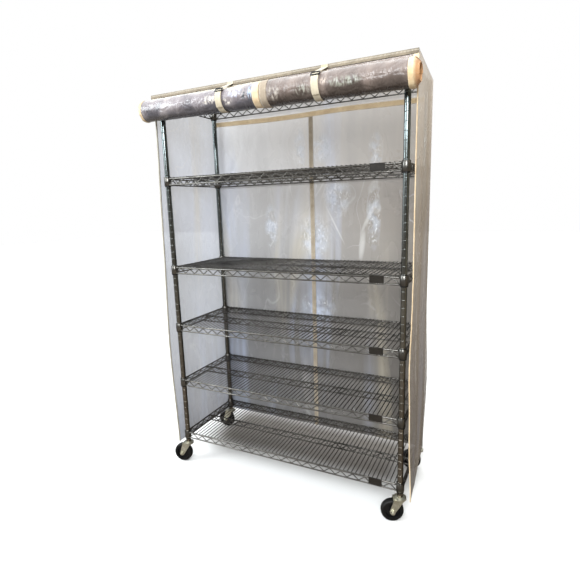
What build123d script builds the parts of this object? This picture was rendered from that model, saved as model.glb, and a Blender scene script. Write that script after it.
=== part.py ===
"""Enclosed wire sheet pan rack: six wire shelves on four grooved posts, swivel casters and a
clear cover whose front is rolled up in two halves.

Millimetres, +Z up, front of the rack towards -Y. The origin is on the floor, in the middle of
the four posts. Shelf heights are counted in groove steps of the posts.
"""
import os
from math import acos, atan2, cos, degrees, hypot, radians, sin, sqrt

from build123d import *

os.makedirs("parts", exist_ok=True)

# ---- driving dimensions -------------------------------------------------------------------
GAP = 0.05                      # clearance between pieces that fit into each other
FACE_GAP = 0.1                  # clearance between the casters' flat faces

POST_X = 437.0                  # half the distance between the posts, left to right
POST_Y = 158.0                  # half the distance between the posts, front to back
POST_RADIUS = 19.05 / 2
POST_WALL = 1.2
POST_BOTTOM = 88.0
POST_TOP = 1431.0
POST_BORE = POST_RADIUS - POST_WALL
GROOVE_STEP = 25.4
GROOVE_DEPTH = 0.6
GROOVE_WIDTH = 2.0
GROOVE_OFFSET = 12.7            # a groove's height above the foot of a sleeve

LOWEST_SLEEVE = 101.0           # foot of the sleeves that carry the lowest shelf
SHELF_STEPS = {                 # groove steps above the lowest shelf
    "shelf_1_top": 51,
    "shelf_2": 40,
    "shelf_3": 27,
    "shelf_4": 18,
    "shelf_5": 9,
    "shelf_6_bottom": 0,
}

COLLAR_RADIUS = 13.0            # shelf measures below are heights above the sleeve's foot
COLLAR_BOTTOM = 4.0
COLLAR_TOP = 35.0
SLEEVE_TOP = 36.5
SLEEVE_RADIUS_FOOT = 11.7       # of the taper, where it would meet the sleeve's foot
SLEEVE_RADIUS_TOP = 10.85
SLEEVE_RING_RADIUS = 11.6       # plain ring that stays in sight under the collar
SLEEVE_RING_TOP = 4.3
SLEEVE_SPLIT_ANGLE = 178.0
SLEEVE_GROUPS = {               # sleeves of neighbouring shelves are kept in one file
    "upper": ("shelf_1_top", "shelf_2"),
    "middle": ("shelf_3", "shelf_4"),
    "lower": ("shelf_5", "shelf_6_bottom"),
}

FRAME_X = 442.0                 # centre lines of the wires round the shelf
FRAME_Y = 163.0
UPPER_WIRE_RADIUS = 3.0
UPPER_WIRE_Z = 28.5
LOWER_WIRE_RADIUS = 2.5
LOWER_WIRE_Z = 6.5
TRUSS_WIRE_RADIUS = 1.8
TRUSS_LOW = 8.6
TRUSS_HIGH = 26.0
WELD_REACH = 11.8               # how near to a post's centre line a frame wire ends
LONG_TRUSS_BENDS = 40
SHORT_TRUSS_BENDS = 14
ZIGZAG_INSET = 0.5              # a zigzag stops this far inside the ends of its frame wires
MIDDLE_INSET = 1.0              # the same in the middle truss, and from it to the side wires
DECK_WIRE_RADIUS = 1.6
DECK_WIRE_Z = 32.6
DECK_PITCH = 14.7
DECK_COUNT = 58
DECK_LENGTH = 329.0
FRAME_WIRE_SIDES = 12           # the wires are drawn with this many flats
DECK_WIRE_SIDES = 8

LABEL_X = (333.0, 378.0)
LABEL_Z = (9.5, 32.6)
LABEL_FACE_Y = -168.4
LABEL_THICKNESS = 1.8

WHEEL_RADIUS = 37.5
TYRE_HALF_WIDTH = 12.0
TYRE_INNER_RADIUS = 29.5
HUB_BOSS_RADIUS = 9.0
HUB_BOSS_HALF_WIDTH = 12.7
HUB_RIM_HALF_WIDTH = 10.5
HUB_RIM_INNER_RADIUS = 25.5
HUB_WEB_HALF_WIDTH = 3.0
CASTER_TRAIL = 25.0             # axle's distance behind the swivel axis
AXLE_RADIUS = 4.0
AXLE_HEX = 13.0                 # across the flats
AXLE_HEAD = 5.0
AXLE_NUT = 6.5
AXLE_TIP = 9.0                  # thread showing past the fork, nut included
FORK_INNER = 13.4
FORK_PLATE = 2.4
FORK_CROWN_Z = (78.0, 80.5)
FORK_CROWN_X = (-23.0, 15.0)
FORK_EYE_RADIUS = 9.5
CUP_RADIUS = 20.5
CUP_WALL = 1.6
CUP_TOP = 84.0
KINGPIN_RADIUS = 5.0
RIVET_RADIUS = 8.0              # the kingpin's head under the crown
RIVET_FOOT_Z = 75.6
RACE_RADIUS = 18.3
RACE_TOP = 83.2
NECK_RADIUS = 12.5
NECK_FOOT_Z = 85.6
STEM_RADIUS = 4.8
STEM_TOP = 112.0
INSERT_Z = (89.5, 116.0)

# name, post side (x, y), direction in which the wheel trails behind its swivel, in degrees
CASTERS = (
    ("front_left", -1, -1, 193.0),
    ("front_right", 1, -1, 202.0),
    ("back_left", -1, 1, 182.0),
    ("back_right", 1, 1, 188.0),
)

PANEL = 0.8                     # thickness of the clear cover sheet in this model
COVER_FRONT_X = 468.0           # the cover is a little wider at its open front than at the back
COVER_BACK_X = 452.0
COVER_FRONT_Y = -170.0
COVER_BACK_Y = 175.0
COVER_HEM_Z = 86.5
COVER_ROOF_Z = (1435.0, 1436.4)
BINDING = 3.0                   # thickness of a folded edge tape
SIDE_BINDING_DEPTH = 7.0
SIDE_INSET = 0.9                # the side sheet lies this far inside the tape's outer face
ROOF_TAPE_Z = (1424.0, 1436.4)
BACK_BAND_Z = (1371.0, 1389.0)
BACK_SEAM_HALF_WIDTH = 9.0

ROLL_Y = -217.0
ROLL_Z = 1370.0
LEFT_ROLL_RADIUS = 35.0
RIGHT_ROLL_RADIUS = 38.0
ROLL_WALL = 5.0                 # the rolled turns, taken together
LEFT_ROLL_X = (-451.0, -5.0)
RIGHT_ROLL_X = (43.0, 455.0)
ROLL_TAPE_ENDS = (-461.0, 18.0, 19.0, 483.0)    # far ends of the rolled edge tapes, left to right
FLAP = 0.8                      # the unrolled strip of front panel between roof and roll
FLAP_TOP_Z = 1422.0

STRAP_WIDTH = 22.0
STRAP_THICKNESS = 1.4
LEFT_STRAP_X = -127.5
RIGHT_STRAP_X = 199.5
STRAP_SLACK = 0.6               # between roll and strap
STRAP_TOP_Z = 1420.0
STRAP_ROOF_POINT = (-177.6, 1428.0)     # front of the strap's end on the roof tape (y, z)
STRAP_TAIL = (150.0, 72.0)      # start and sweep of the folded tail, from the back up, over the top
BUCKLE_ANGLE = 138.0
BUCKLE_SIZE = (28.0, 15.0)
BUCKLE_WINDOW = (22.4, 8.0)
BUCKLE_THICKNESS = 2.2


def save(part, label):
    part.label = label
    export_step(part, f"parts/{label}.step", write_pcurves=False)


def ring_height(steps):
    return LOWEST_SLEEVE + steps * GROOVE_STEP


# ---- posts --------------------------------------------------------------------------------
def groove_heights():
    first = LOWEST_SLEEVE + GROOVE_OFFSET
    count = int((POST_TOP - first) // GROOVE_STEP) + 1
    return [first + i * GROOVE_STEP for i in range(count)]


def make_post():
    half = GROOVE_WIDTH / 2
    outline = [(POST_BORE, POST_BOTTOM), (POST_RADIUS, POST_BOTTOM)]
    for z in groove_heights():
        outline += [
            (POST_RADIUS, z - half),
            (POST_RADIUS - GROOVE_DEPTH, z - half / 2),
            (POST_RADIUS - GROOVE_DEPTH, z + half / 2),
            (POST_RADIUS, z + half),
        ]
    outline += [(POST_RADIUS, POST_TOP), (POST_BORE, POST_TOP)]
    with BuildPart() as post:
        with BuildSketch(Plane.XZ):
            with BuildLine():
                Polyline(*outline, close=True)
            make_face()
        revolve(axis=Axis.Z)
    return post.part


def make_post_caps():
    plug_radius = POST_BORE - GAP
    plug_depth = 12.0
    head_height = 2.8
    with BuildPart() as caps:
        with Locations(*[(x, y, POST_TOP) for x in (-POST_X, POST_X) for y in (-POST_Y, POST_Y)]):
            Cylinder(POST_RADIUS, head_height, align=(Align.CENTER, Align.CENTER, Align.MIN))
            Cylinder(plug_radius, plug_depth, align=(Align.CENTER, Align.CENTER, Align.MAX))
        fillet(caps.edges().filter_by(GeomType.CIRCLE).group_by(Axis.Z)[-1], 1.5)
    return caps.part


def make_stem_inserts():
    length = INSERT_Z[1] - INSERT_Z[0]
    with BuildPart() as inserts:
        with GridLocations(2 * POST_X, 2 * POST_Y, 2, 2):
            with Locations((0, 0, INSERT_Z[0])):
                Cylinder(POST_BORE - GAP, length, align=(Align.CENTER, Align.CENTER, Align.MIN))
                Cylinder(
                    STEM_RADIUS + GAP,
                    length,
                    align=(Align.CENTER, Align.CENTER, Align.MIN),
                    mode=Mode.SUBTRACT,
                )
    return inserts.part


# ---- shelves ------------------------------------------------------------------------------
def make_bar(radius, length, sides):
    """Straight wire along X with narrow flats, which keep its welds and its mesh exact."""
    with BuildPart() as bar:
        with BuildSketch(Plane.YZ.offset(-length / 2)):
            RegularPolygon(radius, sides, major_radius=False, rotation=180 / sides)
        extrude(amount=length)
    return bar.part


def make_zigzag(length, bends):
    """Truss wire in the plane Y = 0, bent between its low and its high points."""
    step = length / bends
    slope = atan2(TRUSS_HIGH - TRUSS_LOW, step)
    mitre = TRUSS_WIRE_RADIUS / cos(slope)
    line = [
        (-length / 2 + i * step, TRUSS_HIGH if i % 2 else TRUSS_LOW)
        for i in range(bends + 1)
    ]
    upper = [(x, z + mitre) for x, z in line]
    lower = [(x, z - mitre) for x, z in reversed(line)]
    with BuildPart() as wire:
        with BuildSketch(Plane.XZ):
            with BuildLine():
                Polyline(*upper, *lower, close=True)
            make_face()
        extrude(amount=TRUSS_WIRE_RADIUS, both=True)
        faces = wire.faces().filter_by(Axis.Y)
        chamfer(faces.edges(), TRUSS_WIRE_RADIUS * (2 - sqrt(2)))
    return wire.part


def make_truss(length, inset, bends):
    """Upper wire, lower wire and the zigzag between them, along X in the plane Y = 0."""
    with BuildPart() as truss:
        with Locations((0, 0, UPPER_WIRE_Z)):
            add(make_bar(UPPER_WIRE_RADIUS, length, FRAME_WIRE_SIDES))
        with Locations((0, 0, LOWER_WIRE_Z)):
            add(make_bar(LOWER_WIRE_RADIUS, length, FRAME_WIRE_SIDES))
        add(make_zigzag(length - 2 * inset, bends))
    return truss.part


def make_shelf():
    long_length = 2 * (POST_X - WELD_REACH)
    short_length = 2 * (POST_Y - WELD_REACH)
    long_truss = make_truss(long_length, ZIGZAG_INSET, LONG_TRUSS_BENDS)
    middle_truss = make_truss(2 * (FRAME_X - MIDDLE_INSET), MIDDLE_INSET, LONG_TRUSS_BENDS)
    short_truss = make_truss(short_length, ZIGZAG_INSET, SHORT_TRUSS_BENDS)
    deck_wire = make_bar(DECK_WIRE_RADIUS, DECK_LENGTH, DECK_WIRE_SIDES).rotate(Axis.Z, 90)
    with BuildPart() as shelf:
        with Locations((0, -FRAME_Y, 0), (0, FRAME_Y, 0)):
            add(long_truss)
        add(middle_truss)
        with Locations(Location((-FRAME_X, 0, 0), (0, 0, 90)), Location((FRAME_X, 0, 0), (0, 0, 90))):
            add(short_truss)
        with Locations((0, 0, DECK_WIRE_Z)):
            with GridLocations(DECK_PITCH, 1, DECK_COUNT, 1):
                add(deck_wire)
        with GridLocations(2 * POST_X, 2 * POST_Y, 2, 2):
            with Locations((0, 0, COLLAR_BOTTOM)):
                Cylinder(
                    COLLAR_RADIUS,
                    COLLAR_TOP - COLLAR_BOTTOM,
                    align=(Align.CENTER, Align.CENTER, Align.MIN),
                )
            Cone(
                SLEEVE_RADIUS_FOOT + GAP,
                SLEEVE_RADIUS_TOP + GAP,
                SLEEVE_TOP,
                align=(Align.CENTER, Align.CENTER, Align.MIN),
                mode=Mode.SUBTRACT,
            )
    return shelf.part


def make_sleeve_half():
    inner = POST_RADIUS + GAP
    bead = GROOVE_DEPTH - 0.1
    half = GROOVE_WIDTH / 2 - 0.15
    with BuildPart() as half_sleeve:
        with BuildSketch(Plane.XZ):
            with BuildLine():
                Polyline(
                    (inner, 0),
                    (SLEEVE_RING_RADIUS, 0),
                    (SLEEVE_RING_RADIUS, SLEEVE_RING_TOP),
                    (SLEEVE_RADIUS_TOP, SLEEVE_TOP),
                    (inner, SLEEVE_TOP),
                    (inner, GROOVE_OFFSET + half),
                    (inner - bead, GROOVE_OFFSET + half / 2),
                    (inner - bead, GROOVE_OFFSET - half / 2),
                    (inner, GROOVE_OFFSET - half),
                    close=True,
                )
            make_face()
        revolve(axis=Axis.Z, revolution_arc=SLEEVE_SPLIT_ANGLE)
    return half_sleeve.part


def make_split_sleeves(half_sleeve, shelves):
    places = [
        Location((x, y, ring_height(SHELF_STEPS[shelf])), (0, 0, turn))
        for shelf in shelves
        for x in (-POST_X, POST_X)
        for y in (-POST_Y, POST_Y)
        for turn in (1, 181)
    ]
    with BuildPart() as sleeves:
        with Locations(*places):
            add(half_sleeve)
    return sleeves.part


def make_label_holders():
    """Blank holders clipped over the front wires: a plate with a lip over the upper wire."""
    width = LABEL_X[1] - LABEL_X[0]
    lip_depth = 3.2
    lip_height = 0.8
    with BuildPart() as holders:
        places = [
            (sum(LABEL_X) / 2, LABEL_FACE_Y, ring_height(steps) + LABEL_Z[0])
            for steps in SHELF_STEPS.values()
        ]
        with Locations(*places):
            Box(
                width,
                LABEL_THICKNESS,
                LABEL_Z[1] - LABEL_Z[0],
                align=(Align.CENTER, Align.MIN, Align.MIN),
            )
            with Locations((0, 0, LABEL_Z[1] - LABEL_Z[0])):
                Box(width, lip_depth, lip_height, align=(Align.CENTER, Align.MIN, Align.MAX))
    return holders.part


# ---- casters ------------------------------------------------------------------------------
# Made with the swivel axis on Z and the wheel trailing towards -X.
def make_caster_stem():
    """Threaded stem, fixed race and riveted kingpin, which stay with the post."""
    with BuildPart() as stem:
        with BuildSketch(Plane.XZ):
            with BuildLine():
                Polyline(
                    (0, RIVET_FOOT_Z),
                    (RIVET_RADIUS - 1.5, RIVET_FOOT_Z),
                    (RIVET_RADIUS, RIVET_FOOT_Z + 1),
                    (RIVET_RADIUS, FORK_CROWN_Z[0] - FACE_GAP),
                    (KINGPIN_RADIUS, FORK_CROWN_Z[0] - FACE_GAP),
                    (KINGPIN_RADIUS, FORK_CROWN_Z[1] + FACE_GAP),
                    (RACE_RADIUS, FORK_CROWN_Z[1] + FACE_GAP),
                    (RACE_RADIUS, RACE_TOP),
                    (NECK_RADIUS, NECK_FOOT_Z),
                    (NECK_RADIUS, POST_BOTTOM - FACE_GAP),
                    (STEM_RADIUS, POST_BOTTOM - FACE_GAP),
                    (STEM_RADIUS, STEM_TOP),
                    (0, STEM_TOP),
                    close=True,
                )
            make_face()
        revolve(axis=Axis.Z)
    return stem.part


def make_caster_fork():
    crown_width = FORK_CROWN_X[1] - FORK_CROWN_X[0]
    crown_middle = sum(FORK_CROWN_X) / 2
    outer = FORK_INNER + FORK_PLATE
    crown_thickness = FORK_CROWN_Z[1] - FORK_CROWN_Z[0]
    with BuildPart() as fork:
        with BuildSketch(Plane.XY.offset(FORK_CROWN_Z[0])):
            Circle(CUP_RADIUS)
            with Locations((crown_middle, 0)):
                RectangleRounded(crown_width, 2 * outer, 3)
        extrude(amount=crown_thickness)
        with BuildSketch(Plane.XY.offset(FORK_CROWN_Z[1])):
            Circle(CUP_RADIUS)
            Circle(CUP_RADIUS - CUP_WALL, mode=Mode.SUBTRACT)
        extrude(amount=CUP_TOP - FORK_CROWN_Z[1])
        for y in (-FORK_INNER, outer):
            with BuildSketch(Plane.XZ.offset(-y)):
                with BuildLine():
                    bottom = CenterArc((-CASTER_TRAIL, WHEEL_RADIUS), FORK_EYE_RADIUS, 165, 180)
                    Polyline(
                        bottom @ 1,
                        (FORK_CROWN_X[1] - 2, FORK_CROWN_Z[1] - 0.4),
                        (FORK_CROWN_X[0] + 2, FORK_CROWN_Z[1] - 0.4),
                        bottom @ 0,
                    )
                make_face()
            extrude(amount=FORK_PLATE)
        with Locations((0, 0, FORK_CROWN_Z[0])):
            Cylinder(KINGPIN_RADIUS + GAP, 3 * crown_thickness, mode=Mode.SUBTRACT)
        with Locations(Location((-CASTER_TRAIL, 0, WHEEL_RADIUS), (90, 0, 0))):
            Cylinder(AXLE_RADIUS + GAP, 4 * outer, mode=Mode.SUBTRACT)
    return fork.part


def make_caster_axle():
    """Hex bolt through the fork, its head on the +Y side."""
    outer = FORK_INNER + FORK_PLATE + GAP
    with BuildPart() as axle:
        with BuildSketch(Plane.XZ.offset(-outer)):
            with Locations((-CASTER_TRAIL, WHEEL_RADIUS)):
                RegularPolygon(AXLE_HEX / 2, 6, major_radius=False)
        extrude(amount=-AXLE_HEAD)
        with BuildSketch(Plane.XZ.offset(-outer)):
            with Locations((-CASTER_TRAIL, WHEEL_RADIUS)):
                Circle(AXLE_RADIUS)
        extrude(amount=2 * outer + AXLE_TIP)
        chamfer(axle.faces().sort_by(Axis.Y)[0].edges(), 0.6)
    return axle.part


def make_axle_nut():
    outer = FORK_INNER + FORK_PLATE + GAP
    with BuildPart() as nut:
        with BuildSketch(Plane.XZ.offset(outer)):
            with Locations((-CASTER_TRAIL, WHEEL_RADIUS)):
                RegularPolygon(AXLE_HEX / 2, 6, major_radius=False)
                Circle(AXLE_RADIUS + GAP, mode=Mode.SUBTRACT)
        extrude(amount=AXLE_NUT)
    return nut.part


def axle_plane():
    """Sketch plane through the axle whose X is the wheel's radius and whose Y runs along it."""
    return Plane(origin=(-CASTER_TRAIL, 0, WHEEL_RADIUS), x_dir=(0, 0, 1), z_dir=(1, 0, 0))


def make_wheel_hub():
    rim_radius = TYRE_INNER_RADIUS - GAP
    outline = (
        (AXLE_RADIUS + GAP, -HUB_BOSS_HALF_WIDTH),
        (HUB_BOSS_RADIUS, -HUB_BOSS_HALF_WIDTH),
        (HUB_BOSS_RADIUS + 1.5, -HUB_WEB_HALF_WIDTH),
        (HUB_RIM_INNER_RADIUS - 1, -HUB_WEB_HALF_WIDTH),
        (HUB_RIM_INNER_RADIUS, -HUB_RIM_HALF_WIDTH),
        (rim_radius, -HUB_RIM_HALF_WIDTH),
        (rim_radius, HUB_RIM_HALF_WIDTH),
        (HUB_RIM_INNER_RADIUS, HUB_RIM_HALF_WIDTH),
        (HUB_RIM_INNER_RADIUS - 1, HUB_WEB_HALF_WIDTH),
        (HUB_BOSS_RADIUS + 1.5, HUB_WEB_HALF_WIDTH),
        (HUB_BOSS_RADIUS, HUB_BOSS_HALF_WIDTH),
        (AXLE_RADIUS + GAP, HUB_BOSS_HALF_WIDTH),
    )
    with BuildPart() as hub:
        with BuildSketch(axle_plane()):
            with BuildLine():
                Polyline(*outline, close=True)
            make_face()
        revolve(axis=Axis((-CASTER_TRAIL, 0, WHEEL_RADIUS), (0, 1, 0)))
    return hub.part


def make_wheel_tyre():
    shoulder = 4.0
    width = TYRE_HALF_WIDTH
    with BuildPart() as tyre:
        with BuildSketch(axle_plane()):
            with BuildLine():
                Polyline(
                    (WHEEL_RADIUS - shoulder, -width),
                    (TYRE_INNER_RADIUS, -width),
                    (TYRE_INNER_RADIUS, width),
                    (WHEEL_RADIUS - shoulder, width),
                )
                Spline(
                    (WHEEL_RADIUS - shoulder, width),
                    (WHEEL_RADIUS - 0.7, width - shoulder),
                    (WHEEL_RADIUS, 0),
                    (WHEEL_RADIUS - 0.7, shoulder - width),
                    (WHEEL_RADIUS - shoulder, -width),
                )
            make_face()
        revolve(axis=Axis((-CASTER_TRAIL, 0, WHEEL_RADIUS), (0, 1, 0)))
    return tyre.part


def place_caster_piece(piece, side_x, side_y, trail_angle):
    with BuildPart() as placed:
        with Locations(Location((side_x * POST_X, side_y * POST_Y, 0), (0, 0, trail_angle - 180))):
            add(piece)
    return placed.part


# ---- cover --------------------------------------------------------------------------------
def cover_side_x(y):
    """Outer half width of the cover at depth y."""
    share = (y - COVER_FRONT_Y) / (COVER_BACK_Y - COVER_FRONT_Y)
    return COVER_FRONT_X + share * (COVER_BACK_X - COVER_FRONT_X)


def make_cover_roof():
    front = COVER_FRONT_Y - BINDING
    with BuildPart() as roof:
        with BuildSketch(Plane.XY.offset(COVER_ROOF_Z[0])):
            with BuildLine():
                Polyline(
                    (-cover_side_x(front), front),
                    (cover_side_x(front), front),
                    (COVER_BACK_X, COVER_BACK_Y + PANEL),
                    (-COVER_BACK_X, COVER_BACK_Y + PANEL),
                    close=True,
                )
            make_face()
        extrude(amount=COVER_ROOF_Z[1] - COVER_ROOF_Z[0])
    return roof.part


def make_cover_back():
    height = COVER_ROOF_Z[0] - GAP - COVER_HEM_Z
    with BuildPart() as back:
        with Locations((0, COVER_BACK_Y, COVER_HEM_Z)):
            Box(2 * COVER_BACK_X, PANEL, height, align=(Align.CENTER, Align.MIN, Align.MIN))
    return back.part


def make_side_strip(side, y_front, y_back, inset, thickness, z_range):
    """Upright strip along the slanting side of the cover; inset is its gap inside the outline."""
    with BuildPart() as strip:
        with BuildSketch(Plane.XY.offset(z_range[0])):
            with BuildLine():
                Polyline(
                    (side * (cover_side_x(y_front) - inset), y_front),
                    (side * (cover_side_x(y_back) - inset), y_back),
                    (side * (cover_side_x(y_back) - inset - thickness), y_back),
                    (side * (cover_side_x(y_front) - inset - thickness), y_front),
                    close=True,
                )
            make_face()
        extrude(amount=z_range[1] - z_range[0])
    return strip.part


def make_cover_side(side):
    z_range = (COVER_HEM_Z, COVER_ROOF_Z[0] - GAP)
    return make_side_strip(side, COVER_FRONT_Y, COVER_BACK_Y - GAP, SIDE_INSET, PANEL, z_range)


def make_side_binding(side):
    y_front = COVER_FRONT_Y - SIDE_BINDING_DEPTH
    z_range = (COVER_HEM_Z, ROOF_TAPE_Z[0] - 1)
    return make_side_strip(side, y_front, COVER_FRONT_Y - GAP, 0, BINDING, z_range)


def make_roof_binding():
    """Edge tape along the roof's front edge."""
    y_back = COVER_FRONT_Y - BINDING - GAP
    height = ROOF_TAPE_Z[1] - ROOF_TAPE_Z[0]
    with BuildPart() as tape:
        with Locations((0, y_back, ROOF_TAPE_Z[0])):
            Box(2 * COVER_FRONT_X, BINDING, height, align=(Align.CENTER, Align.MAX, Align.MIN))
    return tape.part


def make_back_tape(half_width, z_range):
    """Tape sewn on the inner face of the back panel."""
    with BuildPart() as tape:
        with Locations((0, COVER_BACK_Y - GAP, z_range[0])):
            Box(
                2 * half_width,
                PANEL,
                z_range[1] - z_range[0],
                align=(Align.CENTER, Align.MAX, Align.MIN),
            )
    return tape.part


# ---- rolled-up front ----------------------------------------------------------------------
def flap_y(radius):
    """Back face of the flap, which leaves the roll at its rearmost line."""
    return ROLL_Y + radius


def make_front_roll(x_range, radius):
    length = x_range[1] - x_range[0]
    along = (Align.CENTER, Align.CENTER, Align.MIN)
    with BuildPart() as roll:
        with Locations(Location((x_range[0], ROLL_Y, ROLL_Z), (0, 90, 0))):
            Cylinder(radius, length, align=along)
        with Locations((x_range[0], flap_y(radius), ROLL_Z)):
            Box(length, FLAP, FLAP_TOP_Z - ROLL_Z, align=(Align.MIN, Align.MAX, Align.MIN))
        with Locations(Location((x_range[0], ROLL_Y, ROLL_Z), (0, 90, 0))):
            Cylinder(radius - ROLL_WALL, length, align=along, mode=Mode.SUBTRACT)
    return roll.part


def make_roll_ring(x_start, x_end, radius_start, radius_end):
    """Edge tape where it is rolled up with the panel."""
    length = x_end - x_start
    bore = min(radius_start, radius_end) - ROLL_WALL
    along = (Align.CENTER, Align.CENTER, Align.MIN)
    with BuildPart() as ring:
        with Locations(Location((x_start, ROLL_Y, ROLL_Z), (0, 90, 0))):
            Cone(radius_start, radius_end, length, align=along)
            Cylinder(bore, length, align=along, mode=Mode.SUBTRACT)
    return ring.part


def strap_angle_at_roof(radius):
    """Where the strap's straight piece from the roof tape meets the roll, from the back up."""
    rise = STRAP_ROOF_POINT[1] - ROLL_Z
    run = STRAP_ROOF_POINT[0] - ROLL_Y
    return degrees(atan2(rise, run) + acos(radius / hypot(rise, run)))


def strap_band(inner, outer, start, sweep_angle):
    """Outline of webbing lying on the roll, added to the current line."""
    for radius in (inner, outer):
        CenterArc((ROLL_Y, ROLL_Z), radius, start, sweep_angle)
    for angle in (radians(start), radians(start + sweep_angle)):
        corners = [(ROLL_Y + r * cos(angle), ROLL_Z + r * sin(angle)) for r in (inner, outer)]
        Line(*corners)


def make_strap(x, radius):
    """Webbing from behind the flap, under and round the front of the roll, up to the roof tape;
    its tail is folded back down over the front."""
    inner = radius + STRAP_SLACK
    outer = inner + STRAP_THICKNESS
    roof_y, roof_z = STRAP_ROOF_POINT
    leave = strap_angle_at_roof(outer)
    with BuildPart() as strap:
        with BuildSketch(Plane.YZ.offset(x - STRAP_WIDTH / 2)):
            with BuildLine():
                strap_band(inner, outer, 0, leave - 360)
            make_face()
            with BuildLine():
                strap_band(outer - GAP, outer + STRAP_THICKNESS, *STRAP_TAIL)
            make_face()
            with BuildLine():
                Polyline(
                    (ROLL_Y + inner, ROLL_Z),
                    (ROLL_Y + inner, STRAP_TOP_Z),
                    (ROLL_Y + outer, STRAP_TOP_Z),
                    (ROLL_Y + outer, ROLL_Z),
                    close=True,
                )
            make_face()
            with BuildLine():
                end = radians(leave)
                Polyline(
                    (ROLL_Y + outer * cos(end), ROLL_Z + outer * sin(end)),
                    (roof_y, roof_z),
                    (roof_y, ROOF_TAPE_Z[1]),
                    (roof_y + STRAP_THICKNESS, ROOF_TAPE_Z[1]),
                    (roof_y + STRAP_THICKNESS, roof_z - STRAP_THICKNESS),
                    (ROLL_Y + inner * cos(end), ROLL_Z + inner * sin(end)),
                    close=True,
                )
            make_face()
        extrude(amount=STRAP_WIDTH)
    return strap.part


def make_buckle(x, radius):
    """Slide frame lying on the strap."""
    reach = radius + STRAP_SLACK + STRAP_THICKNESS + 0.8
    angle = radians(BUCKLE_ANGLE)
    outward = (0, cos(angle), sin(angle))
    origin = (x, ROLL_Y + reach * cos(angle), ROLL_Z + reach * sin(angle))
    with BuildPart() as buckle:
        with BuildSketch(Plane(origin=origin, x_dir=(1, 0, 0), z_dir=outward)):
            RectangleRounded(*BUCKLE_SIZE, 2)
            Rectangle(*BUCKLE_WINDOW, mode=Mode.SUBTRACT)
        extrude(amount=BUCKLE_THICKNESS)
    return buckle.part


# ---- everything, one file per piece -------------------------------------------------------
def save_rack():
    post = make_post()
    for name, side_x, side_y, _ in CASTERS:
        save(post.moved(Location((side_x * POST_X, side_y * POST_Y, 0))), f"post_{name}")
    save(make_post_caps(), "post_caps")
    save(make_stem_inserts(), "post_stem_inserts")
    shelf = make_shelf()
    for name, steps in SHELF_STEPS.items():
        save(shelf.moved(Location((0, 0, ring_height(steps)))), name)
    half_sleeve = make_sleeve_half()
    for group, shelves in SLEEVE_GROUPS.items():
        save(make_split_sleeves(half_sleeve, shelves), f"split_sleeves_{group}")
    save(make_label_holders(), "label_holders")


def save_casters():
    pieces = {
        "stem": make_caster_stem(),
        "fork": make_caster_fork(),
        "axle": make_caster_axle(),
        "axle_nut": make_axle_nut(),
        "wheel_hub": make_wheel_hub(),
        "tyre": make_wheel_tyre(),
    }
    for name, side_x, side_y, trail_angle in CASTERS:
        for piece_name, piece in pieces.items():
            placed = place_caster_piece(piece, side_x, side_y, trail_angle)
            save(placed, f"caster_{name}_{piece_name}")


def save_cover():
    save(make_cover_roof(), "cover_roof")
    save(make_cover_back(), "cover_back")
    save(make_cover_side(-1), "cover_left")
    save(make_cover_side(1), "cover_right")
    save(make_side_binding(-1), "cover_left_front_binding")
    save(make_side_binding(1), "cover_right_front_binding")
    save(make_roof_binding(), "cover_roof_binding")
    save(make_back_tape(COVER_BACK_X - 4, BACK_BAND_Z), "cover_back_band")
    seam_z = (COVER_HEM_Z, BACK_BAND_Z[0] - 1)
    save(make_back_tape(BACK_SEAM_HALF_WIDTH, seam_z), "cover_back_seam")


def save_front_rolls():
    left, right = LEFT_ROLL_RADIUS, RIGHT_ROLL_RADIUS
    save(make_front_roll(LEFT_ROLL_X, left), "front_roll_left")
    save(make_front_roll(RIGHT_ROLL_X, right), "front_roll_right")
    rings = {                   # start and end along X, radius at both
        "left_outer": (ROLL_TAPE_ENDS[0], LEFT_ROLL_X[0] - GAP, left - 1, left),
        "left_inner": (LEFT_ROLL_X[1] + GAP, ROLL_TAPE_ENDS[1], left + 1, left + 0.5),
        "right_inner": (ROLL_TAPE_ENDS[2], RIGHT_ROLL_X[0] - GAP, right - 3, right),
        "right_outer": (RIGHT_ROLL_X[1] + GAP, ROLL_TAPE_ENDS[3], right, right - 9),
    }
    for name, measures in rings.items():
        save(make_roll_ring(*measures), f"front_roll_{name}_binding")
    save(make_strap(LEFT_STRAP_X, left), "strap_left")
    save(make_strap(RIGHT_STRAP_X, right), "strap_right")
    save(make_buckle(LEFT_STRAP_X, left), "strap_left_buckle")
    save(make_buckle(RIGHT_STRAP_X, right), "strap_right_buckle")


save_rack()
save_casters()
save_cover()
save_front_rolls()
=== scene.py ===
"""Looks of the enclosed sheet pan rack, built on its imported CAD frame.

Metres, in the frame's own axes: +Z up, the open front towards -Y, the floor at Z = 0.
"""

from math import acos, atan2, cos, exp, hypot, pi, radians, sin

import bmesh
import bpy
from mathutils import Matrix, Vector, noise


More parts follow.
